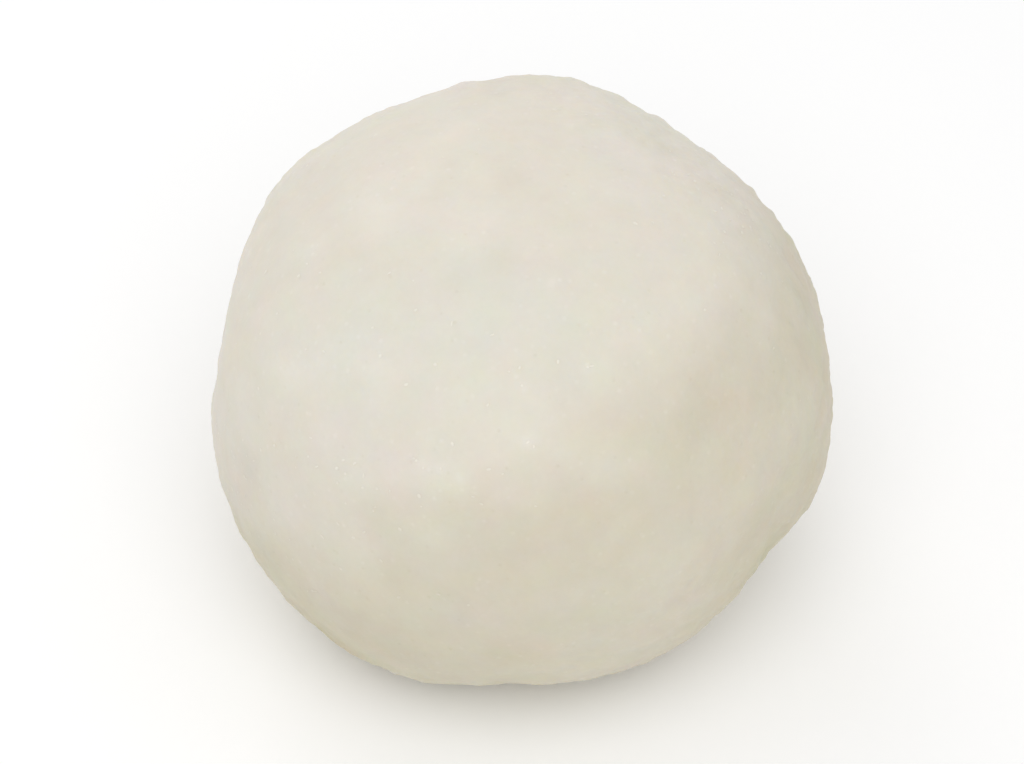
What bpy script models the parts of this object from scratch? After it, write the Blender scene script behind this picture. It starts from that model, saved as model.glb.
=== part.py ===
"""Shine muscat daifuku: one uncut rice cake, patted round a whole grape in bean paste.

Metres, +Z up. The cake rests on Z = 0 with its middle over the origin, and its front faces -Y.
The soft dough is one solid: an upright ball that sags on a flat foot, with a fuller shoulder than
a sphere, and the shallow flats and swells that fingers leave when they close and turn the dough.
"""

import math
from collections import namedtuple

import bmesh
import bpy
from mathutils import Vector

MM = 0.001
ON_ARC = 1e-4  # radians by which a place may seem to miss an arc that it is on

NAME = "daifuku"

# Driving sizes of the patted ball
WIDTH = 48.0 * MM
DEPTH = 48.0 * MM
GIRTH_LEVEL = 18.2 * MM  # height of the widest level above the table
CROWN_RISE = 21.8 * MM  # from the widest level up to the crown
FOOT_DROP = 21.7 * MM  # what would hang below the widest level if the table were not there
FULLNESS = 2.2  # 2 is an ellipsoid, and more gives squarer shoulders
FOOT_SOFTNESS = 1.6 * MM  # how gently the side rolls onto the table

# The ball starts as a cube whose faces are cut into this many squares a side
CAGE_SQUARES = 14
SMOOTHING_LEVELS = 1

# Finger marks, placed by bearing and height in degrees as seen from the ball's middle: bearing 0 is
# the right side, 90 the back and 270 the front, and height is the angle above the widest level.
# Spread is a mark's half width in degrees, and swell is what it adds in millimetres, less than
# nothing where the dough was pressed in. A dab is one touch, and a stroke runs between two places.
Dab = namedtuple("Dab", "bearing height spread swell")
Stroke = namedtuple("Stroke", "start end spread swell")

# Flats between fuller places, all the way round the outline seen from the front and above
OUTLINE_DABS = (
    Dab(40, 33, 20, -1.25),  # broad flat behind on the right
    Dab(83, 45, 9, 0.3),
    Dab(127, 39, 15, -0.4),
    Dab(150, 27, 12, 0.45),
    Dab(170, 9, 15, -0.9),  # flat on the left
    Dab(192, -12, 14, 0.45),
    Dab(226, -35, 28, 1.1),  # the dough leans to the front left
    Dab(268, -45, 9, -0.8),
    Dab(330, -28, 9, -1.4),  # pinch low on the right
    Dab(347, -12, 11, 0.8),
    Dab(12, 12, 13, -0.35),
)

# Finger dents on the front, with the low swells between them
FRONT_DABS = (
    Dab(312, 32, 9, -0.5),
    Dab(334, 17, 9, 0.35),
    Dab(322, -5, 10, -0.5),
    Dab(292, 4, 11, 0.35),
    Dab(358, 27, 10, -0.4),
    Dab(31, 58, 9, -0.4),
)

# The same hands' work on the back and near the crown
BACK_DABS = (
    Dab(100, 6, 17, -0.7),  # flat in the middle of the back
    Dab(138, -10, 14, 0.5),
    Dab(66, -6, 13, 0.45),
    Dab(84, -24, 10, -0.35),
    Dab(44, 2, 9, -0.4),
    Dab(118, 22, 9, 0.3),
    Dab(155, -22, 9, -0.3),
    Dab(200, 72, 12, -0.3),
)

# The shoulder between the top and the front, with a hollow under it
SHOULDER_STROKES = (
    Stroke((228, 20), (258, 29), 9, 0.4),
    Stroke((258, 29), (285, 47), 9, 0.4),
    Stroke((312, 50), (345, 48), 9, 0.4),
    Stroke((242, 10), (288, 16), 8, -0.35),
)

SKIN_COLOUR = (0.77, 0.73, 0.62, 1.0)
SKIN_ROUGHNESS = 0.8


def clear_scene():
    for leftover in list(bpy.data.objects):
        bpy.data.objects.remove(leftover)


def toward(bearing, height):
    """The unit direction of a bearing and a height, both in degrees."""
    turn, climb = math.radians(bearing), math.radians(height)
    return Vector(
        (math.cos(climb) * math.cos(turn), math.cos(climb) * math.sin(turn), math.sin(climb))
    )


def angle_to_stroke(direction, stroke):
    """Radians from a direction to the nearest point of the arc that a stroke follows."""
    start, end = toward(*stroke.start), toward(*stroke.end)
    across = start.cross(end).normalized()
    foot = (direction - across * direction.dot(across)).normalized()
    if foot.angle(start) + foot.angle(end) < start.angle(end) + ON_ARC:
        return direction.angle(foot)
    return min(direction.angle(start), direction.angle(end))


def finger_swell(direction):
    """What all the marks add to the ball's radius in this direction, in metres."""
    marks = [
        (dab, direction.angle(toward(dab.bearing, dab.height)))
        for dab in OUTLINE_DABS + FRONT_DABS + BACK_DABS
    ]
    marks += [(stroke, angle_to_stroke(direction, stroke)) for stroke in SHOULDER_STROKES]
    total = 0.0
    for mark, away in marks:
        reach = math.degrees(away) / mark.spread
        total += mark.swell * MM * math.exp(-reach * reach)
    return total


def ball_radius(direction):
    """The unmarked ball's radius in a direction from the middle of its widest level."""
    rise = CROWN_RISE if direction.z > 0 else FOOT_DROP
    flat = math.hypot(direction.x / (WIDTH / 2), direction.y / (DEPTH / 2))
    share = flat**FULLNESS + abs(direction.z / rise) ** FULLNESS
    return share ** (-1 / FULLNESS)


def settled(height):
    """A height once the dough rests on the table: never below it, and rounded as it meets it."""
    if height > FOOT_SOFTNESS:
        return height
    if height < -FOOT_SOFTNESS:
        return 0.0
    return (height + FOOT_SOFTNESS) ** 2 / (4 * FOOT_SOFTNESS)


def dough_point(direction):
    """Where the dough's skin lies in this direction."""
    radius = ball_radius(direction) + finger_swell(direction)
    point = direction * radius
    point.z = settled(point.z + GIRTH_LEVEL)
    return point


def ball_cage():
    """A cube cut into even squares, each corner of which lies on the unit ball."""
    cage = bmesh.new()
    bmesh.ops.create_cube(cage, size=2.0)
    bmesh.ops.subdivide_edges(
        cage, edges=cage.edges[:], cuts=CAGE_SQUARES - 1, use_grid_fill=True
    )
    for corner in cage.verts:
        even = [math.tan(share * math.pi / 4) for share in corner.co]
        corner.co = Vector(even).normalized()
    return cage


def shape_cage(cage):
    """Moves the cage's corners onto the dough's skin, with its middle over the origin."""
    for corner in cage.verts:
        corner.co = dough_point(corner.co.normalized())
    for axis in (0, 1):
        places = [corner.co[axis] for corner in cage.verts]
        middle = (min(places) + max(places)) / 2
        for corner in cage.verts:
            corner.co[axis] -= middle


def skin_material():
    skin = bpy.data.materials.new("mochi_skin")
    skin.use_nodes = True
    shader = skin.node_tree.nodes["Principled BSDF"]
    shader.inputs["Base Color"].default_value = SKIN_COLOUR
    shader.inputs["Roughness"].default_value = SKIN_ROUGHNESS
    shader.inputs["Metallic"].default_value = 0.0
    return skin


def make_daifuku(collection):
    cage = ball_cage()
    shape_cage(cage)
    bmesh.ops.recalc_face_normals(cage, faces=cage.faces[:])
    mesh = bpy.data.meshes.new(NAME)
    cage.to_mesh(mesh)
    cage.free()
    mesh.shade_smooth()
    mesh.materials.append(skin_material())
    daifuku = bpy.data.objects.new(NAME, mesh)
    collection.objects.link(daifuku)
    smoothing = daifuku.modifiers.new("soft_skin", "SUBSURF")
    smoothing.levels = SMOOTHING_LEVELS
    smoothing.render_levels = SMOOTHING_LEVELS
    return daifuku


def main():
    clear_scene()
    sweet = bpy.data.collections.new("shine_muscat_daifuku")
    bpy.context.scene.collection.children.link(sweet)
    make_daifuku(sweet)


main()
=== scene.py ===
"""The looks of one uncut shine muscat daifuku: soft mochi skin under a dusting of starch.

Laid out as a Blender add-on and run as a script. Everything is in metres, +Z up, in the frame of
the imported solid, whose foot rests on Z = 0 and whose front faces -Y.
"""

import math
from collections import namedtuple

import bpy
import numpy as np
from bpy.props import FloatProperty, FloatVectorProperty, IntProperty, PointerProperty
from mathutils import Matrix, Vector


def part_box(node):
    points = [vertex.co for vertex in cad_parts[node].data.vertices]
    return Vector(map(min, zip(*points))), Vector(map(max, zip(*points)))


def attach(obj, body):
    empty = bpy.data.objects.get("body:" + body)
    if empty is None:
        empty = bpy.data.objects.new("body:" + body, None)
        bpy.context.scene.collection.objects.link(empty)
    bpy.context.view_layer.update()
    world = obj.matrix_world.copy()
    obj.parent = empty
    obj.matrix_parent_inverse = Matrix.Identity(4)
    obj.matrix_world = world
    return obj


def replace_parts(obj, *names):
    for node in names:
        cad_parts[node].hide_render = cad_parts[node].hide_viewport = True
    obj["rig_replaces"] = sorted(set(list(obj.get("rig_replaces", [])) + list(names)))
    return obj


bl_info = {
    "name": "Shine Muscat Daifuku",
    "version": (1, 0, 0),
    "blender": (4, 5, 0),
    "location": "View3D > Sidebar > Daifuku",
    "description": "Dresses an uncut fruit daifuku in mochi skin and starch",
    "category": "Add Mesh",
}

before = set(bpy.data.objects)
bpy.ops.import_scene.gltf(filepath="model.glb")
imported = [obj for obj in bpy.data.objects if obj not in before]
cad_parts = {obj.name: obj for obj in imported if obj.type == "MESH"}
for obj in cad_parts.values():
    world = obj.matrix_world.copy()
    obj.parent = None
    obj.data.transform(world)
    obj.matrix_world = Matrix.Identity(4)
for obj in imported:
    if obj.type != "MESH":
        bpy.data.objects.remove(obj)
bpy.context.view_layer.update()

MM = 0.001
BODY = "root"
NODE = "daifuku"

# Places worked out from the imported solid
HEART_UP = 0.455  # how high the heart lies, as a share of the height
LOW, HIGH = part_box(NODE)
WIDTH = HIGH.x - LOW.x
HEIGHT = HIGH.z - LOW.z
HEART = Vector(((LOW.x + HIGH.x) / 2, (LOW.y + HIGH.y) / 2, LOW.z + HEART_UP * HEIGHT))

# Names that the pieces and their materials share
SKIN = "mochi_skin"
GRAINS = "starch_grains"
STARCH = "dry_starch"
DUST_LIGHT_AND_SHADE = "dusting"  # attribute: how thickly starch lies on the skin, 0 to 1, with painted light on the top and left and painted shade on the front, the right side and the low flank
BLUSH = "blush"  # attribute: 0 where the dough looks faintly green, 1 where it looks rosy
CREAM = "creaminess"  # attribute: 0.5 where the dough is plain, more where it looks creamier
SPECKLING = "speckling"  # attribute: how closely single grains lie, 1 where they speckle the side

# Places on the cake are given by bearing and height in degrees, seen from its heart: bearing 0 is
# the right side, 90 the back and 270 the front, and height is the angle above the widest level.
# Spread is a touch's half width in degrees.
Touch = namedtuple("Touch", "bearing height spread amount")

# The crests that the fingers left along the shoulder, and the hollows beside them, in millimetres
CRESTS = (
    Touch(258, 28, 4, 0.14),
    Touch(264, 32, 4, 0.14),
    Touch(271, 35, 4, 0.2),
    Touch(278, 32, 4, 0.16),
    Touch(285, 29, 4.5, 0.2),
    Touch(294, 26, 5, 0.2),
    Touch(309, 47, 5, 0.14),
    Touch(318, 49, 5, 0.2),
    Touch(328, 49, 5, 0.2),
    Touch(340, 46, 5, 0.14),
    Touch(253, 16, 3.5, 0.1),
    Touch(296, 6, 7, 0.2),
    Touch(310, 12, 7, 0.16),
    Touch(79, 45, 6, 0.18),
    Touch(102, 45, 5, 0.08),
    Touch(126, 39, 6, 0.2),
    Touch(144, 30, 7, 0.18),
    Touch(152, 26, 5, 0.1),
    Touch(40, 33, 5, 0.1),
    Touch(20, 30, 4, 0.06),
    Touch(184, -4, 3.5, 0.12),
    Touch(205, -16, 3.5, 0.1),
    Touch(356, -4, 4, 0.18),
)
HOLLOWS = (
    Touch(259, 21, 5, 0.2),
    Touch(270, 20, 5, 0.16),
    Touch(280, 20, 5, 0.16),
    Touch(309, 33, 6, 0.2),
    Touch(323, 37, 5, 0.14),
    Touch(331, 30, 5, 0.12),
    Touch(260, 67, 3.5, 0.12),
    Touch(219, 87, 2.5, 0.05),
    Touch(330, 63, 6, 0.1),
    Touch(356, 49, 4, 0.1),
    Touch(32, 56, 5, 0.14),
    Touch(223, 22, 6, 0.12),
    Touch(1, 12, 5, 0.16),
    Touch(182, 11, 5, 0.14),
    Touch(197, -12, 3, 0.07),
    Touch(224, -27, 7, 0.12),
    Touch(266, -32, 7, 0.2),
    Touch(279, -35, 6, 0.14),
    Touch(311, -26, 7, 0.22),
    Touch(325, -15, 6, 0.3),
    Touch(330, -20, 5, 0.25),
    Touch(339, -15, 5, 0.2),
    Touch(345, -10, 5, 0.1),
    Touch(302, 15, 0.9, 0.1),
    Touch(301, -1, 0.9, 0.1),
)

# Where the skin is made lighter, as a share of what the starched top has more than the bare side:
# partly thicker starch and partly painted light, as on the shaded underside of the low front
THICKER_AND_LIT = (
    # on the left
    Touch(214, 31, 4, 0.3),
    Touch(218, 38, 7, 0.28),
    Touch(234, 42, 6, 0.28),
    Touch(200, 33, 5, 0.25),
    Touch(251, 37, 4, 0.2),
    Touch(209, 15, 4, 0.2),
    Touch(236, 2, 7, 0.2),
    Touch(241, 9, 3, 0.16),
    Touch(256, 9, 3.5, 0.15),
    Touch(230, -7, 3, 0.14),
    # on the top
    Touch(248, 52, 8, 0.12),
    Touch(273, 44, 4, 0.16),
    Touch(196, 62, 7, 0.35),
    Touch(176, 71, 4, 0.2),
    Touch(146, 69, 5, 0.22),
    Touch(193, 47, 4, 0.08),
    Touch(264, 45, 3, 0.12),
    Touch(222, 76, 6, 0.23),
    Touch(269, 71, 3.5, 0.25),
    Touch(266, 57, 4, 0.2),
    Touch(336, 79, 5, 0.17),
    Touch(18, 66, 6, 0.23),
    Touch(300, 61, 6, 0.13),
    Touch(352, 70, 4, 0.22),
    Touch(337, 62, 5, 0.17),
    Touch(323, 49, 5, 0.15),
    Touch(0, 51, 3, 0.2),
    Touch(350, 38, 4.5, 0.3),
    Touch(338, 36, 4, 0.22),
    Touch(347, 29, 4, 0.1),
    Touch(1, 38, 3, 0.15),
    Touch(7, 39, 5, 0.08),
    # under the shoulder
    Touch(254, 15, 3, 0.24),
    Touch(256, 25, 4, 0.17),
    Touch(273, 27, 4, 0.17),
    Touch(286, 29, 5, 0.32),
    Touch(294, 27, 4, 0.12),
    Touch(304, 35, 4, 0.2),
    Touch(276, 32, 2.5, 0.15),
    Touch(329, 32, 5, 0.2),
    # on the front and the right side
    Touch(289, 18, 5, 0.19),
    Touch(282, 1, 5, 0.1),
    Touch(296, 4, 7, 0.4),
    Touch(293, -5, 4.5, 0.25),
    Touch(311, 33, 3, 0.1),
    Touch(309, 24, 5, 0.25),
    Touch(312, 11, 9, 0.2),
    Touch(334, 20, 6, 0.25),
    Touch(322, 11, 4, 0.14),
    Touch(300, -8, 4, 0.1),
    Touch(285, -17, 8, 0.13),
    Touch(284, -33, 6, 0.2),
    Touch(280, -22, 4, 0.12),
    Touch(294, -24, 4, 0.14),
)

# Where the skin is made darker: partly starch rubbed thin and partly painted shade, as along the
# low rim of the front and the right side
THINNER_AND_SHADED = (
    Touch(211, 8, 6, 0.5),
    Touch(221, 16, 5, 0.23),
    Touch(230, 2, 3, 0.13),
    Touch(231, 11, 5, 0.17),
    Touch(243, 18, 6, 0.35),
    Touch(247, 5, 4, 0.2),
    Touch(201, 3, 4, 0.35),
    Touch(207, -1, 4, 0.2),
    Touch(220, -9, 6, 0.3),
    Touch(239, -16, 8, 0.38),
    Touch(225, -18, 4, 0.25),
    Touch(226, -28, 9, 0.8),
    Touch(244, -20, 4, 0.15),
    Touch(205, -17, 8, 0.4),
    Touch(250, -14, 7, 0.3),
    Touch(264, -13, 6, 0.12),
    Touch(266, -12, 6, 0.23),
    Touch(260, 22, 6, 0.17),
    Touch(260, 69, 4, 0.15),
    Touch(219, 87, 3, 0.13),
    Touch(292, 41, 4, 0.17),
    Touch(279, 42, 4, 0.12),
    Touch(310, 33, 7, 0.25),
    Touch(342, 24, 5, 0.25),
    Touch(320, 4, 6, 0.35),
    Touch(311, -4, 5, 0.2),
    Touch(334, 0, 6, 0.3),
    Touch(326, -15, 11, 0.7),
    Touch(343, -14, 9, 0.35),
    Touch(339, 0, 4, 0.2),
    Touch(348, 12, 4, 0.3),
    Touch(354, 26, 3, 0.2),
    Touch(312, -26, 8, 0.2),
    Touch(315, -14, 4, 0.2),
    Touch(352, 19, 4, 0.14),
    Touch(16, 42, 4, 0.12),
    Touch(54, 53, 5, 0.12),
    Touch(357, -4, 7, 0.3),
    Touch(356, 46, 4, 0.15),
    Touch(184, 45, 5, 0.1),
    Touch(9, 50, 4, 0.45),
    Touch(32, 56, 6, 0.2),
    Touch(95, 54, 9, 0.2),
    Touch(169, 42, 9, 0.2),
    Touch(193, 28, 8, 0.17),
)

# Small pale huddles of grains, in front and behind
HUDDLES = (
    Touch(271, 35, 1.3, 0.75),
    Touch(258, 28, 1.0, 0.45),
    Touch(254, 29, 1.0, 0.5),
    Touch(250, 29, 1.0, 0.5),
    Touch(286, 46, 1.0, 0.4),
    Touch(270, 44, 0.9, 0.5),
    Touch(281, 63, 0.9, 0.5),
    Touch(308, 25, 1.0, 0.2),
    Touch(276, -11, 1.0, 0.25),
    Touch(60, 30, 1.2, 0.8),
    Touch(100, 40, 1.0, 0.7),
    Touch(120, 10, 1.3, 0.9),
    Touch(75, -5, 1.0, 0.6),
    Touch(150, 20, 1.0, 0.8),
    Touch(30, 15, 1.1, 0.7),
    Touch(175, 30, 1.0, 0.6),
)
HUDDLED = 5  # how much closer grains lie in a huddle than where they speckle the side
HUDDLE_DUST = 0.6  # how much thicker the fine starch under a huddle is

# Where single grains lie closest, in front and behind
SPECKLED = (
    Touch(242, 20, 12, 0.7),
    Touch(224, 5, 13, 0.65),
    Touch(207, 2, 8, 1.5),
    Touch(225, -12, 8, 0.7),
    Touch(220, 40, 24, 0.1),
    Touch(194, 38, 9, 0.5),
    Touch(262, 42, 14, 0.12),
    Touch(3, 50, 10, 1.8),
    Touch(95, 25, 28, 0.8),
    Touch(150, 5, 22, 0.6),
    Touch(30, 0, 18, 0.4),
)
STRAY_GRAINS = 0.02  # how closely they lie everywhere else

# Where the dough looks greener, or less than nothing where it looks rosier
GREENED = (
    Touch(225, 42, 10, 0.6),
    Touch(248, 56, 11, 0.55),
    Touch(275, 54, 10, 0.5),
    Touch(208, 27, 5, 0.15),
    Touch(235, 33, 5, 0.3),
    Touch(224, -15, 7, 0.5),
    Touch(249, -26, 7, 0.4),
    Touch(246, 39, 8, 0.3),
    Touch(281, 46, 6, 0.25),
    Touch(277, 37, 4, -0.35),
    Touch(289, -23, 7, 0.3),
    Touch(286, 8, 6, 0.25),
    Touch(65, 35, 14, 0.4),
    Touch(130, 15, 12, 0.5),
    Touch(266, 10, 5, -0.4),
    Touch(287, 19, 5, -0.2),
    Touch(316, 29, 6, -0.35),
    Touch(166, 50, 10, -0.35),
    Touch(143, 78, 8, -0.3),
    Touch(21, 75, 7, -0.3),
    Touch(307, 75, 7, -0.3),
    Touch(78, 52, 6, 0.25),
    Touch(90, 64, 18, -0.35),
    Touch(12, 56, 12, -0.15),
)

# Where the dough looks creamier than its starch makes it, or less than nothing where it is cooler
CREAMED = (
    Touch(283, 34, 6, 0.5),
    Touch(280, 22, 5, 0.25),
    Touch(251, 87, 6, 0.35),
    Touch(154, 71, 6, 0.25),
    Touch(199, 56, 6, 0.25),
    Touch(297, 51, 5, 0.3),
    Touch(305, 38, 6, 0.25),
    Touch(330, 32, 5, 0.25),
    Touch(355, 37, 5, 0.3),
    Touch(346, 12, 6, 0.3),
    Touch(306, 11, 6, 0.2),
    Touch(253, 2, 6, -0.35),
    Touch(245, -16, 7, -0.35),
    Touch(268, -14, 7, -0.2),
    Touch(249, 50, 5, -0.25),
    Touch(248, 67, 5, -0.3),
    Touch(282, 54, 5, -0.2),
    Touch(180, 44, 6, -0.25),
    Touch(166, 57, 5, -0.2),
    Touch(313, 29, 5, -0.3),
    Touch(235, 23, 6, -0.2),
    Touch(95, 60, 7, -0.2),
)

# More starch lies on the top and the left than on the front and the right side, and light is
# painted in with it: the top and left are painted lighter, and the front and right side darker, as
# painted shade.
# Angles are in degrees, and shares go from 0 to 1.
DUST_AND_LIGHT_FROM = (155, 60)  # bearing and height of the middle of the starched side, which is also painted lit
DUST_AND_LIGHT_EDGE = 78  # from there to the middle of its soft edge
DUST_AND_LIGHT_FADE = 12  # half the width of that edge
DUST_IN_SHADE = 0.385  # how thickly starch lies beyond it, where shade is painted in
DUST_IN_LIGHT = 0.77  # and within it
SHADE_BELOW = 0.2  # how much darker the low flank is painted all round, as painted shade
SHADE_START = 12  # how far below the widest level that starts
SHADE_END = 36  # and where it is complete
GREEN_EVERYWHERE = 0.24  # how far the dough leans from rosy to green where no touch says more
PLAIN_CREAM = 0.5  # creaminess where no touch says more

# What the greenest and the rosiest dough multiply its colour by, and the coolest and creamiest
GREEN_TINT = (0.97, 1.0, 0.99)
ROSY_TINT = (1.0, 0.985, 0.985)
COOL_TINT = (1.0, 1.0, 1.045)
CREAM_TINT = (1.0, 1.0, 0.955)

# The skin's patterns: repeats to a metre, and how far each moves the thickness of starch
Pattern = namedtuple("Pattern", "scale amount")
DRIFTS = Pattern(260, 0.26)
MIST = Pattern(2400, 0.09)
FLECKS = Pattern(1040, 0.17)
SHADED_PRICKS = Pattern(880, 0.17)
MIST_LEVEL = 0.049  # what the mist and the flecks add on the whole
# Repeats to a metre of the other patterns
MOTTLES = 240
VELVET = 1900
GRAIN_LUMPS = 5000
VELVET_DEPTH = 0.03 * MM  # how deep the skin's velvety grain is

# How the skin is moulded on the solid
CUBE_SHARE = 1.4  # width of the cube that it starts as, in widths of the cake
SKIN_LEVELS = 7  # how often that cube is subdivided
SMOOTHINGS = 50  # how often its edges from the solid's faces are smoothed
TOUCH_DEPTH = 0.5 * MM  # what a weight of 1 stands for in the crests and hollows
PRESSED_BELOW = 0.3 * MM  # the table presses the skin flat up to this height
FREE_ABOVE = 2.5 * MM  # and doesn't touch it above this one
TAUT_AT = (250, 50)  # bearing and height of the middle of the taut top and front
TAUT_TO = 45  # how far from there the skin is taut
SLACK_FROM = 95  # and from where it is slack
TAUT_PUCKERS = 0.25  # share of the puckers' height that the taut side has

# A middling grain's length, width and height, in settings of its size
GRAIN_SHAPE = (1.0, 0.9, 0.2)
GRAIN_SUNK = 0.025  # how far its middle is sunk in the skin
# The smallest and the largest grain's length, width and height, beside the middling one's
SMALLEST_GRAIN = (0.45, 0.45, 0.6)
LARGEST_GRAIN = (1.3, 1.0, 1.2)
GRAIN_SEED = 11

# The stage, in metres: bearings and heights of the two soft lamps, and their widths
FRONT_LAMP = (270, 57)
FRONT_LAMP_WIDTH = 0.4
BACK_LAMP = (115, 22)
BACK_LAMP_WIDTH = 0.25
LAMP_DISTANCE = 0.4  # from the cake's heart
CAMERA_AIM = (-0.8 * MM, -0.65 * MM, 18.85 * MM)
FLOOR_SIZE = 4


class MochiSettings(bpy.types.PropertyGroup):
    # The gap between the dough and the starched colour paints light and shade as well as starch.
    dough_colour: FloatVectorProperty(
        name="Dough",
        description="Bare mochi, where little starch is left",
        subtype="COLOR",
        size=3,
        min=0,
        max=1,
        default=(0.536, 0.489, 0.349),
    )
    starched_colour: FloatVectorProperty(
        name="Starched",
        description="Mochi under its dusting of starch",
        subtype="COLOR",
        size=3,
        min=0,
        max=1,
        default=(0.778, 0.744, 0.676),
    )
    translucency: FloatProperty(
        name="Translucency",
        description="Share of the light that the dough takes in and gives back",
        subtype="FACTOR",
        min=0,
        max=1,
        default=0.4,
    )
    light_depth: FloatProperty(
        name="Light depth",
        description="How far light spreads inside the dough",
        unit="LENGTH",
        default=1.6 * MM,
    )
    mottling: FloatProperty(
        name="Mottling",
        description="Strength of the faint uneven tint in the dough",
        subtype="FACTOR",
        min=0,
        max=1,
        default=0.035,
    )
    pat_height: FloatProperty(
        name="Pats",
        description="Height of the broad, soft unevenness that patting leaves",
        unit="LENGTH",
        default=0.34 * MM,
    )
    pat_size: FloatProperty(
        name="Pat size",
        description="Size of that unevenness along the skin",
        unit="LENGTH",
        default=5.5 * MM,
    )
    pucker_height: FloatProperty(
        name="Puckers",
        description="Height of the small waves on the slack side",
        unit="LENGTH",
        default=0.78 * MM,
    )
    pucker_size: FloatProperty(
        name="Pucker size",
        description="Size of those waves along the skin",
        unit="LENGTH",
        default=2.0 * MM,
    )


class StarchSettings(bpy.types.PropertyGroup):
    colour: FloatVectorProperty(
        name="Starch",
        description="Dry white starch",
        subtype="COLOR",
        size=3,
        min=0,
        max=1,
        default=(0.875, 0.837, 0.761),
    )
    whiteness: FloatProperty(
        name="Whiteness",
        description="How little a grain takes on the tone of the dough where starch lies thick",
        subtype="FACTOR",
        min=0,
        max=1,
        default=0.62,
    )
    grains: IntProperty(
        name="Grains",
        description="Grains on the whole cake if they lay everywhere as closely as on the side",
        default=2500,
    )
    grain_size: FloatProperty(
        name="Grain size",
        description="Width of a middling grain",
        unit="LENGTH",
        default=0.36 * MM,
    )


class StageSettings(bpy.types.PropertyGroup):
    camera_height: FloatProperty(
        name="Camera height",
        description="Angle by which the camera looks down on the cake",
        subtype="ANGLE",
        default=math.radians(45),
    )
    camera_distance: FloatProperty(
        name="Camera distance",
        description="From the camera to what it aims at",
        unit="LENGTH",
        default=263.8 * MM,
    )
    lens: FloatProperty(
        name="Lens",
        description="Focal length in millimetres on a 36 mm sensor",
        default=120,
    )
    floor_colour: FloatVectorProperty(
        name="Floor",
        description="The pale table",
        subtype="COLOR",
        size=3,
        min=0,
        max=1,
        default=(0.98, 0.98, 0.98),
    )
    surround: FloatProperty(
        name="Surround",
        description="Strength of the even white light from all round",
        default=0.735,
    )
    front_watts: FloatProperty(
        name="Front",
        description="Power of the large soft lamp high in front",
        default=0.618,
    )
    back_watts: FloatProperty(
        name="Back",
        description="Power of the soft lamp low behind on the left",
        default=0.266,
    )


def start_piece(name):
    """Names the object that an operator has just added, and returns it."""
    piece = bpy.context.object
    piece.name = name
    piece.data.name = name
    return piece


def deselect_all():
    bpy.ops.object.select_all(action="DESELECT")


def apply_modifier(piece, kind, **settings):
    """Adds a modifier with these settings and applies it at once."""
    modifier = piece.modifiers.new(kind.lower(), kind)
    for setting, value in settings.items():
        setattr(modifier, setting, value)
    bpy.context.view_layer.objects.active = piece
    bpy.ops.object.modifier_apply(modifier=modifier.name)


def settle_into_mesh(piece):
    """Puts the piece's place into its mesh, so that its object sits at the origin."""
    deselect_all()
    piece.select_set(True)
    bpy.context.view_layer.objects.active = piece
    bpy.ops.object.transform_apply(location=True, rotation=True, scale=True)


def step(value, low, high):
    """0 below low, 1 above high, and a smooth rise between them."""
    share = ((value - low) / (high - low)).clip(0, 1)
    return share * share * (3 - 2 * share)


def places_of(piece):
    """Where the piece's vertices are, as rows of x, y and z."""
    places = np.empty(3 * len(piece.data.vertices))
    piece.data.vertices.foreach_get("co", places)
    return places.reshape(-1, 3)


def weigh(piece, group_name, weights):
    """Makes a vertex group with these weights, one for each vertex."""
    group = piece.vertex_groups.new(name=group_name)
    for index, weight in enumerate(weights.clip(0, 1)):
        group.add([index], weight, "REPLACE")
    return group


def write_attribute(piece, name, values):
    attribute = piece.data.attributes.new(name, "FLOAT", "POINT")
    attribute.data.foreach_set("value", values.astype(np.float32))


def cloud_texture(name, size, depth):
    clouds = bpy.data.textures.new(name, "CLOUDS")
    clouds.noise_scale = size
    clouds.noise_depth = depth
    clouds.noise_basis = "ORIGINAL_PERLIN"
    return clouds


def toward(bearing, height):
    """The unit direction of a bearing and a height in degrees, as in the solid's finger marks."""
    turn, climb = math.radians(bearing), math.radians(height)
    return Vector(
        (math.cos(climb) * math.cos(turn), math.cos(climb) * math.sin(turn), math.sin(climb))
    )


def directions_of(places):
    """The unit directions of places, seen from the cake's heart."""
    away = places - np.array(HEART)
    return away / np.linalg.norm(away, axis=1, keepdims=True)


def degrees_from(directions, bearing, height):
    """How far each direction is from a bearing and a height, in degrees."""
    return np.degrees(np.arccos((directions @ np.array(toward(bearing, height))).clip(-1, 1)))


def degrees_up(directions):
    """How high above the widest level each direction points, in degrees."""
    return np.degrees(np.arcsin(directions[:, 2].clip(-1, 1)))


def touched(directions, touches):
    """What the touches add up to in each direction."""
    total = np.zeros(len(directions))
    for touch in touches:
        away = degrees_from(directions, touch.bearing, touch.height)
        total += touch.amount * np.exp(-((away / touch.spread) ** 2))
    return total


def dusting(directions):
    """How thickly starch lies in each direction, 0 to 1, with painted light on the top and left
    and painted shade on the front, the right side and the low flank.
    """
    away = degrees_from(directions, *DUST_AND_LIGHT_FROM)
    starch_and_light = 1 - step(away, DUST_AND_LIGHT_EDGE - DUST_AND_LIGHT_FADE, DUST_AND_LIGHT_EDGE + DUST_AND_LIGHT_FADE)
    drifts = touched(directions, THICKER_AND_LIT) - touched(directions, THINNER_AND_SHADED)
    drifts += HUDDLE_DUST * touched(directions, HUDDLES)
    drifts -= SHADE_BELOW * step(-degrees_up(directions), SHADE_START, SHADE_END)
    return (DUST_IN_SHADE + (DUST_IN_LIGHT - DUST_IN_SHADE) * (starch_and_light + drifts)).clip(0, 1)


def blush(directions):
    """How rosy the dough looks in each direction, 0 to 1."""
    return (1 - GREEN_EVERYWHERE - touched(directions, GREENED)).clip(0, 1)


def creaminess(directions):
    """How creamy the dough looks in each direction, 0 to 1."""
    return (PLAIN_CREAM + touched(directions, CREAMED)).clip(0, 1)


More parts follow.
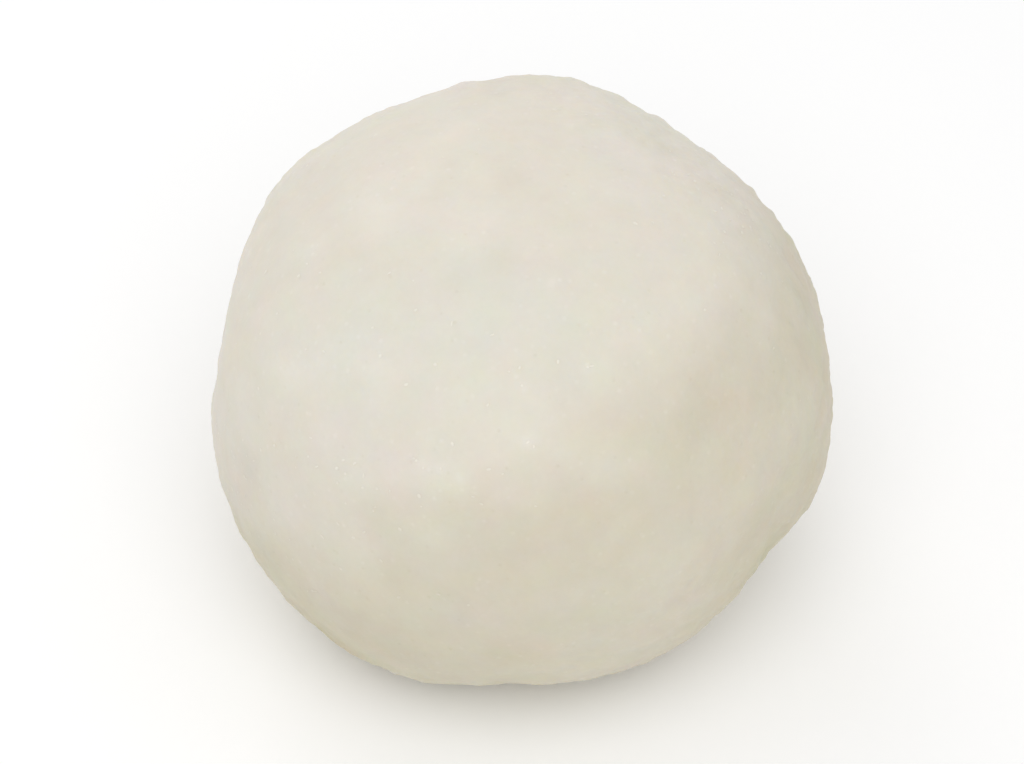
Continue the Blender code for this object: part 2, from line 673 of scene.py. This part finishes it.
def speckling(directions):
    """How closely single grains lie in each direction."""
    singly = STRAY_GRAINS + touched(directions, SPECKLED)
    return singly + HUDDLED * touched(directions, HUDDLES)


def slackness(directions):
    """1 behind and below, where the dough puckers, down to a little on the taut top and front."""
    away = degrees_from(directions, *TAUT_AT)
    return TAUT_PUCKERS + (1 - TAUT_PUCKERS) * step(away, TAUT_TO, SLACK_FROM)


def freedom(places):
    """0 where the table presses the skin flat, 1 a little above it."""
    return step(places[:, 2], PRESSED_BELOW, FREE_ABOVE)


def new_material(name):
    material = bpy.data.materials.new(name)
    material.use_nodes = True
    return material, material.node_tree, material.node_tree.nodes["Principled BSDF"]


def noise_node(tree, place, scale, detail=2.0, roughness=0.5):
    texture = tree.nodes.new("ShaderNodeTexNoise")
    texture.inputs["Scale"].default_value = scale
    texture.inputs["Detail"].default_value = detail
    texture.inputs["Roughness"].default_value = roughness
    tree.links.new(place, texture.inputs["Vector"])
    return texture


def ramp_node(tree, value, stops):
    """A colour ramp through (position, grey or colour) stops."""
    ramp = tree.nodes.new("ShaderNodeValToRGB")
    elements = ramp.color_ramp.elements
    for index, (position, colour) in enumerate(stops):
        element = elements[index] if index < 2 else elements.new(position)
        element.position = position
        element.color = (colour,) * 3 + (1,) if isinstance(colour, float) else (*colour, 1)
    tree.links.new(value, ramp.inputs["Fac"])
    return ramp.outputs["Color"]


def mix_node(tree, share, first, second, blend="MIX"):
    """Mixes two colours, each a socket or a plain colour, by a share that is one too."""
    mix = tree.nodes.new("ShaderNodeMix")
    mix.data_type = "RGBA"
    mix.blend_type = blend
    for socket, value in ((mix.inputs[0], share), (mix.inputs[6], first), (mix.inputs[7], second)):
        if isinstance(value, bpy.types.NodeSocket):
            tree.links.new(value, socket)
        else:
            socket.default_value = value if isinstance(value, float) else (*value, 1)
    return mix.outputs[2]


def attribute_node(tree, name):
    attribute = tree.nodes.new("ShaderNodeAttribute")
    attribute.attribute_name = name
    return attribute.outputs["Fac"]


def math_node(tree, operation, *values):
    node = tree.nodes.new("ShaderNodeMath")
    node.operation = operation
    for socket, value in zip(node.inputs, values):
        if isinstance(value, bpy.types.NodeSocket):
            tree.links.new(value, socket)
        else:
            socket.default_value = value
    return node.outputs["Value"]


def dough_tone(tree, thickness, mochi):
    """The dough's colour under this thickness of starch, which also carries painted light and
    shade, with its tints from place to place.
    """
    colour = mix_node(
        tree, thickness, tuple(mochi.dough_colour), tuple(mochi.starched_colour)
    )
    for name, least, most in ((BLUSH, GREEN_TINT, ROSY_TINT), (CREAM, COOL_TINT, CREAM_TINT)):
        tint = mix_node(tree, attribute_node(tree, name), least, most)
        colour = mix_node(tree, 1.0, colour, tint, "MULTIPLY")
    return colour


def dots_node(tree, place, scale, reach):
    """Scattered dots, 1 in the middle of the strongest, less in the faint ones, 0 round them."""
    dots = tree.nodes.new("ShaderNodeTexVoronoi")
    dots.inputs["Scale"].default_value = scale
    tree.links.new(place, dots.inputs["Vector"])
    nearness = ramp_node(tree, dots.outputs["Distance"], [(0.0, 1.0), (reach, 0.0)])
    strength = ramp_node(tree, dots.outputs["Color"], [(0.2, 0.0), (0.8, 1.0)])
    return math_node(tree, "MULTIPLY", nearness, strength)


def mochi_material(settings):
    material, tree, shader = new_material("starched_mochi")
    place = tree.nodes.new("ShaderNodeTexCoord").outputs["Object"]

    # Starch lies in soft drifts and a fine mist of grains too small to model
    drifts = noise_node(tree, place, DRIFTS.scale, detail=4.0, roughness=0.6).outputs["Fac"]
    mist = noise_node(tree, place, MIST.scale).outputs["Fac"]
    fleck = dots_node(tree, place, FLECKS.scale, reach=0.25)
    shaded_prick = dots_node(tree, place, SHADED_PRICKS.scale, reach=0.17)
    thickness = math_node(tree, "MULTIPLY_ADD", drifts, DRIFTS.amount, -DRIFTS.amount / 2)
    # The dusting attribute brings painted light on the top and left and painted shade on the
    # front, the right side and the low flank.
    thickness = math_node(tree, "ADD", thickness, attribute_node(tree, DUST_LIGHT_AND_SHADE))
    thickness = math_node(tree, "MULTIPLY_ADD", mist, MIST.amount, thickness)
    thickness = math_node(tree, "SUBTRACT", thickness, MIST_LEVEL)
    thickness = math_node(tree, "MULTIPLY_ADD", fleck, FLECKS.amount, thickness)
    # The pricks also darken the colour in small dots: painted shade, besides their dent in the
    # relief below.
    thickness = math_node(tree, "MULTIPLY_ADD", shaded_prick, -SHADED_PRICKS.amount, thickness)
    skin = dough_tone(tree, thickness, settings)
    mottles = noise_node(tree, place, MOTTLES, detail=4.0, roughness=0.65).outputs["Color"]
    skin = mix_node(tree, settings.mottling, skin, mottles, "LINEAR_LIGHT")
    tree.links.new(skin, shader.inputs["Base Color"])

    # Starch is duller than bare dough
    rough = ramp_node(tree, thickness, [(0.0, 0.62), (1.0, 0.9)])
    tree.links.new(rough, shader.inputs["Roughness"])

    # A fine velvety grain round the pin pricks
    velvet = noise_node(tree, place, VELVET, detail=3.0).outputs["Fac"]
    relief = math_node(tree, "MULTIPLY", velvet, 0.5)
    relief = math_node(tree, "SUBTRACT", relief, shaded_prick)
    bump = tree.nodes.new("ShaderNodeBump")
    bump.inputs["Strength"].default_value = 0.35
    bump.inputs["Distance"].default_value = VELVET_DEPTH
    tree.links.new(relief, bump.inputs["Height"])
    tree.links.new(bump.outputs["Normal"], shader.inputs["Normal"])

    shader.inputs["Specular IOR Level"].default_value = 0.25
    shader.inputs["Subsurface Weight"].default_value = settings.translucency
    shader.inputs["Subsurface Radius"].default_value = (1.0, 0.8, 0.5)
    shader.inputs["Subsurface Scale"].default_value = settings.light_depth
    return material


def starch_material(settings, mochi):
    """Grains as white as starch where they lie dry, and soaked to the dough's tone where not."""
    material, tree, shader = new_material(STARCH)
    place = tree.nodes.new("ShaderNodeTexCoord").outputs["Object"]
    lumps = noise_node(tree, place, GRAIN_LUMPS).outputs["Fac"]
    # The grains take on the skin's painted light and shade through the dusting attribute.
    dust_light_and_shade = attribute_node(tree, DUST_LIGHT_AND_SHADE)
    dryness = math_node(tree, "MULTIPLY", dust_light_and_shade, settings.whiteness)
    colour = mix_node(tree, dryness, dough_tone(tree, dust_light_and_shade, mochi), tuple(settings.colour))
    shade = ramp_node(tree, lumps, [(0.3, 0.96), (0.7, 1.0)])
    colour = mix_node(tree, 1.0, colour, shade, "MULTIPLY")
    tree.links.new(colour, shader.inputs["Base Color"])
    rough = ramp_node(tree, lumps, [(0.3, 0.95), (0.7, 0.85)])
    tree.links.new(rough, shader.inputs["Roughness"])
    shader.inputs["Specular IOR Level"].default_value = 0.2
    return material


def declare(piece):
    """Says what the piece rides on."""
    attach(piece, BODY)


def mould_on_solid(skin):
    """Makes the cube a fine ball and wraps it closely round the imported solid."""
    apply_modifier(skin, "SUBSURF", levels=SKIN_LEVELS, render_levels=SKIN_LEVELS)
    apply_modifier(skin, "CAST", cast_type="SPHERE", factor=1.0, size=WIDTH / 2)
    apply_modifier(
        skin,
        "SHRINKWRAP",
        target=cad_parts[NODE],
        wrap_method="PROJECT",
        use_negative_direction=True,
        use_positive_direction=True,
    )
    settle_into_mesh(skin)
    apply_modifier(skin, "SMOOTH", factor=0.5, iterations=SMOOTHINGS)


def give_relief(skin, settings):
    """Adds finger marks, pats and puckers, and keeps all of the skin above the table."""
    places = places_of(skin)
    directions = directions_of(places)
    free = freedom(places)
    weigh(skin, "crests", free * touched(directions, CRESTS) * MM / TOUCH_DEPTH)
    weigh(skin, "hollows", free * touched(directions, HOLLOWS) * MM / TOUCH_DEPTH)
    weigh(skin, "pats", free)
    weigh(skin, "puckers", free * slackness(directions))
    for group, strength in (("crests", TOUCH_DEPTH), ("hollows", -TOUCH_DEPTH)):
        apply_modifier(skin, "DISPLACE", strength=strength, mid_level=0.0, vertex_group=group)
    waves = (
        ("pats", settings.pat_size, settings.pat_height),
        ("puckers", settings.pucker_size, settings.pucker_height),
    )
    for group, size, height in waves:
        apply_modifier(
            skin,
            "DISPLACE",
            texture=cloud_texture(group, size, 2),
            strength=height,
            mid_level=0.5,
            vertex_group=group,
        )
    for vertex in skin.data.vertices:
        vertex.co.z = max(vertex.co.z, LOW.z)


def write_looks(skin):
    """Writes on the skin's points how starch with its painted light and shade, tints and single
    grains differ over it.
    """
    places = places_of(skin)
    directions = directions_of(places)
    write_attribute(skin, DUST_LIGHT_AND_SHADE, dusting(directions))
    write_attribute(skin, BLUSH, blush(directions))
    write_attribute(skin, CREAM, creaminess(directions))
    write_attribute(skin, SPECKLING, freedom(places) * speckling(directions))


class DAIFUKU_OT_mochi_skin(bpy.types.Operator):
    """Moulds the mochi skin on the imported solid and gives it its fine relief"""

    bl_idname = "daifuku.mochi_skin"
    bl_label = "Mochi Skin"

    def execute(self, context):
        settings = context.scene.daifuku_mochi
        deselect_all()
        bpy.ops.mesh.primitive_cube_add(size=CUBE_SHARE * WIDTH, location=HEART)
        skin = start_piece(SKIN)
        mould_on_solid(skin)
        give_relief(skin, settings)
        write_looks(skin)
        skin.data.shade_smooth()
        skin.data.materials.append(mochi_material(settings))
        declare(skin)
        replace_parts(skin, NODE)
        return {"FINISHED"}


def scatter_nodes(name, grain, count, seed, smallest, largest):
    """A node group that strews copies of a grain over a surface where its speckling says."""
    tree = bpy.data.node_groups.new(name, "GeometryNodeTree")
    tree.is_modifier = True
    tree.interface.new_socket("Geometry", in_out="INPUT", socket_type="NodeSocketGeometry")
    tree.interface.new_socket("Geometry", in_out="OUTPUT", socket_type="NodeSocketGeometry")

    def add(kind, **inputs):
        node = tree.nodes.new(kind)
        for socket, value in inputs.items():
            node.inputs[socket.replace("_", " ")].default_value = value
        return node

    def join(source, target):
        tree.links.new(source, target)

    surface, shown = add("NodeGroupInput"), add("NodeGroupOutput")
    closeness = add("GeometryNodeInputNamedAttribute", Name=SPECKLING)
    per_area = add("ShaderNodeMath")
    per_area.operation = "MULTIPLY"
    per_area.inputs[1].default_value = count / (math.pi * WIDTH * HEIGHT)
    join(closeness.outputs["Attribute"], per_area.inputs[0])

    points = add("GeometryNodeDistributePointsOnFaces", Seed=seed)
    join(surface.outputs[0], points.inputs["Mesh"])
    join(per_area.outputs["Value"], points.inputs["Density"])
    spin = add("FunctionNodeRandomValue", Seed=seed + 1)
    spin.data_type = "FLOAT_VECTOR"
    spin.inputs["Min"].default_value = (0, 0, 0)
    spin.inputs["Max"].default_value = (0, 0, 2 * math.pi)
    turned = add("FunctionNodeRotateRotation")
    turned.rotation_space = "LOCAL"
    as_turn = add("FunctionNodeEulerToRotation")
    join(spin.outputs["Value"], as_turn.inputs["Euler"])
    join(points.outputs["Rotation"], turned.inputs["Rotation"])
    join(as_turn.outputs["Rotation"], turned.inputs["Rotate By"])
    sizes = add("FunctionNodeRandomValue", Seed=seed + 2)
    sizes.data_type = "FLOAT_VECTOR"
    sizes.inputs["Min"].default_value = smallest
    sizes.inputs["Max"].default_value = largest

    model = add("GeometryNodeObjectInfo")
    model.inputs["Object"].default_value = grain
    copies = add("GeometryNodeInstanceOnPoints")
    join(points.outputs["Points"], copies.inputs["Points"])
    join(model.outputs["Geometry"], copies.inputs["Instance"])
    join(turned.outputs["Rotation"], copies.inputs["Rotation"])
    join(sizes.outputs["Value"], copies.inputs["Scale"])
    real = add("GeometryNodeRealizeInstances")
    join(copies.outputs["Instances"], real.inputs["Geometry"])
    join(real.outputs["Geometry"], shown.inputs[0])
    return tree


def strew(name, grain, count, seed, smallest, largest):
    """Strews copies of a grain over the skin as one joined mesh, and removes the grain."""
    deselect_all()
    skin = bpy.data.objects[SKIN]
    skin.select_set(True)
    bpy.context.view_layer.objects.active = skin
    bpy.ops.object.duplicate()
    piece = start_piece(name)
    piece.vertex_groups.clear()
    # The copy of the skin comes with the note that it replaces the solid, which grains don't
    del piece["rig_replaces"]
    nodes = scatter_nodes(name, grain, count, seed, smallest, largest)
    apply_modifier(piece, "NODES", node_group=nodes)
    bpy.data.objects.remove(grain)
    piece.data.materials.clear()
    piece.data.materials.append(bpy.data.materials[STARCH])
    declare(piece)
    return piece


class DAIFUKU_OT_starch_grains(bpy.types.Operator):
    """Strews single grains and small huddles of starch over the skin"""

    bl_idname = "daifuku.starch_grains"
    bl_label = "Starch Grains"

    def execute(self, context):
        settings = context.scene.daifuku_starch
        deselect_all()
        bpy.ops.mesh.primitive_ico_sphere_add(subdivisions=1, radius=settings.grain_size / 2)
        grain = start_piece("grain")
        bpy.ops.object.mode_set(mode="EDIT")
        bpy.ops.transform.resize(value=GRAIN_SHAPE)
        bpy.ops.transform.translate(value=(0, 0, -GRAIN_SUNK * settings.grain_size))
        bpy.ops.object.mode_set(mode="OBJECT")
        starch_material(settings, context.scene.daifuku_mochi)
        strew(GRAINS, grain, settings.grains, GRAIN_SEED, SMALLEST_GRAIN, LARGEST_GRAIN)
        return {"FINISHED"}


class DAIFUKU_OT_stage(bpy.types.Operator):
    """Sets the camera, the soft lamps and the pale floor"""

    bl_idname = "daifuku.stage"
    bl_label = "Stage"

    def execute(self, context):
        settings = context.scene.daifuku_stage
        scene = context.scene
        deselect_all()
        bpy.ops.mesh.primitive_plane_add(size=FLOOR_SIZE)
        floor = start_piece("floor")
        material, _, shader = new_material("pale_table")
        shader.inputs["Base Color"].default_value = (*settings.floor_colour, 1)
        shader.inputs["Roughness"].default_value = 0.9
        shader.inputs["Specular IOR Level"].default_value = 0.0
        floor.data.materials.append(material)

        world = bpy.data.worlds.new("even_light")
        world.use_nodes = True
        background = world.node_tree.nodes["Background"]
        background.inputs["Color"].default_value = (1, 1, 1, 1)
        background.inputs["Strength"].default_value = settings.surround
        scene.world = world

        front = (toward(*FRONT_LAMP), FRONT_LAMP_WIDTH, settings.front_watts)
        self.add_lamp("front_lamp", *front)
        back = (toward(*BACK_LAMP), BACK_LAMP_WIDTH, settings.back_watts)
        self.add_lamp("back_lamp", *back)

        climb = settings.camera_height
        out = Vector((0, -math.cos(climb), math.sin(climb)))
        camera_data = bpy.data.cameras.new("photo_camera")
        camera_data.lens = settings.lens
        camera_data.sensor_width = 36
        camera_data.clip_start = 0.01
        camera = bpy.data.objects.new("photo_camera", camera_data)
        camera.location = Vector(CAMERA_AIM) + out * settings.camera_distance
        camera.rotation_euler = (math.pi / 2 - climb, 0, 0)
        scene.collection.objects.link(camera)
        scene.camera = camera
        scene.view_settings.view_transform = "Standard"
        return {"FINISHED"}

    def add_lamp(self, name, direction, width, watts):
        """A round soft lamp, turned towards the cake's heart."""
        lamp_data = bpy.data.lights.new(name, "AREA")
        lamp_data.shape = "DISK"
        lamp_data.size = width
        lamp_data.energy = watts
        lamp = bpy.data.objects.new(name, lamp_data)
        lamp.location = HEART + direction * LAMP_DISTANCE
        lamp.rotation_euler = (-direction).to_track_quat("-Z", "Y").to_euler()
        bpy.context.scene.collection.objects.link(lamp)


OPERATORS = (
    DAIFUKU_OT_mochi_skin,
    DAIFUKU_OT_starch_grains,
    DAIFUKU_OT_stage,
)


class DAIFUKU_PT_panel(bpy.types.Panel):
    """Lists the steps that dress the cake"""

    bl_label = "Daifuku"
    bl_space_type = "VIEW_3D"
    bl_region_type = "UI"
    bl_category = "Daifuku"

    def draw(self, context):
        for operator in OPERATORS:
            self.layout.operator(operator.bl_idname)
        for group in ("daifuku_mochi", "daifuku_starch", "daifuku_stage"):
            settings = getattr(context.scene, group)
            box = self.layout.box()
            for name in settings.bl_rna.properties.keys():
                if name not in ("rna_type", "name"):
                    box.prop(settings, name)


CLASSES = (MochiSettings, StarchSettings, StageSettings, *OPERATORS, DAIFUKU_PT_panel)


def register():
    for cls in CLASSES:
        bpy.utils.register_class(cls)
    bpy.types.Scene.daifuku_mochi = PointerProperty(type=MochiSettings)
    bpy.types.Scene.daifuku_starch = PointerProperty(type=StarchSettings)
    bpy.types.Scene.daifuku_stage = PointerProperty(type=StageSettings)


def unregister():
    del bpy.types.Scene.daifuku_stage
    del bpy.types.Scene.daifuku_starch
    del bpy.types.Scene.daifuku_mochi
    for cls in reversed(CLASSES):
        bpy.utils.unregister_class(cls)


def main():
    register()
    bpy.ops.daifuku.mochi_skin()
    bpy.ops.daifuku.starch_grains()
    bpy.ops.daifuku.stage()


if __name__ == "__main__":
    main()
